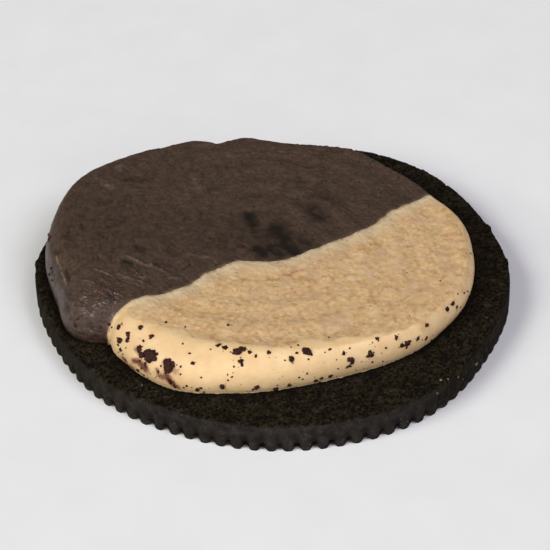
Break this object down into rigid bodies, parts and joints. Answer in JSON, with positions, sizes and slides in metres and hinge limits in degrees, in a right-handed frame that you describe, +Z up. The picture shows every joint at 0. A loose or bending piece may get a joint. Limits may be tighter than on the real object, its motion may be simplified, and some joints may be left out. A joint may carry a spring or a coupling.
{
  "type": "opened chocolate sandwich cookie half",
  "caption": "Opened chocolate sandwich cookie half: a round cocoa wafer with a ridged edge, carrying a disc of chocolate and peanut butter creme on its flat face.",
  "frame": {"origin": "on the ground, under the middle of the wafer's box", "axes": "+Z up from the ridged underside to the creme; the chocolate creme lies towards -X and +Y and the peanut butter creme towards +X and -Y"},
  "size_m": [0.0462, 0.0456, 0.0073],
  "materials": {
    "cocoa_wafer": "matte baked crumb, nearly black brown, fine-grained",
    "chocolate_creme": "soft satin fat creme, dark grey brown, dragged and matt on top, smoother at the side",
    "peanut_butter_creme": "soft satin fat creme, pale tan, rough on top, smooth and paler at the side"
  },
  "bodies": {
    "root": {"wafer": "cocoa_wafer", "creme_chocolate": "chocolate_creme", "creme_peanut_butter": "peanut_butter_creme"}
  },
  "joints": []
}
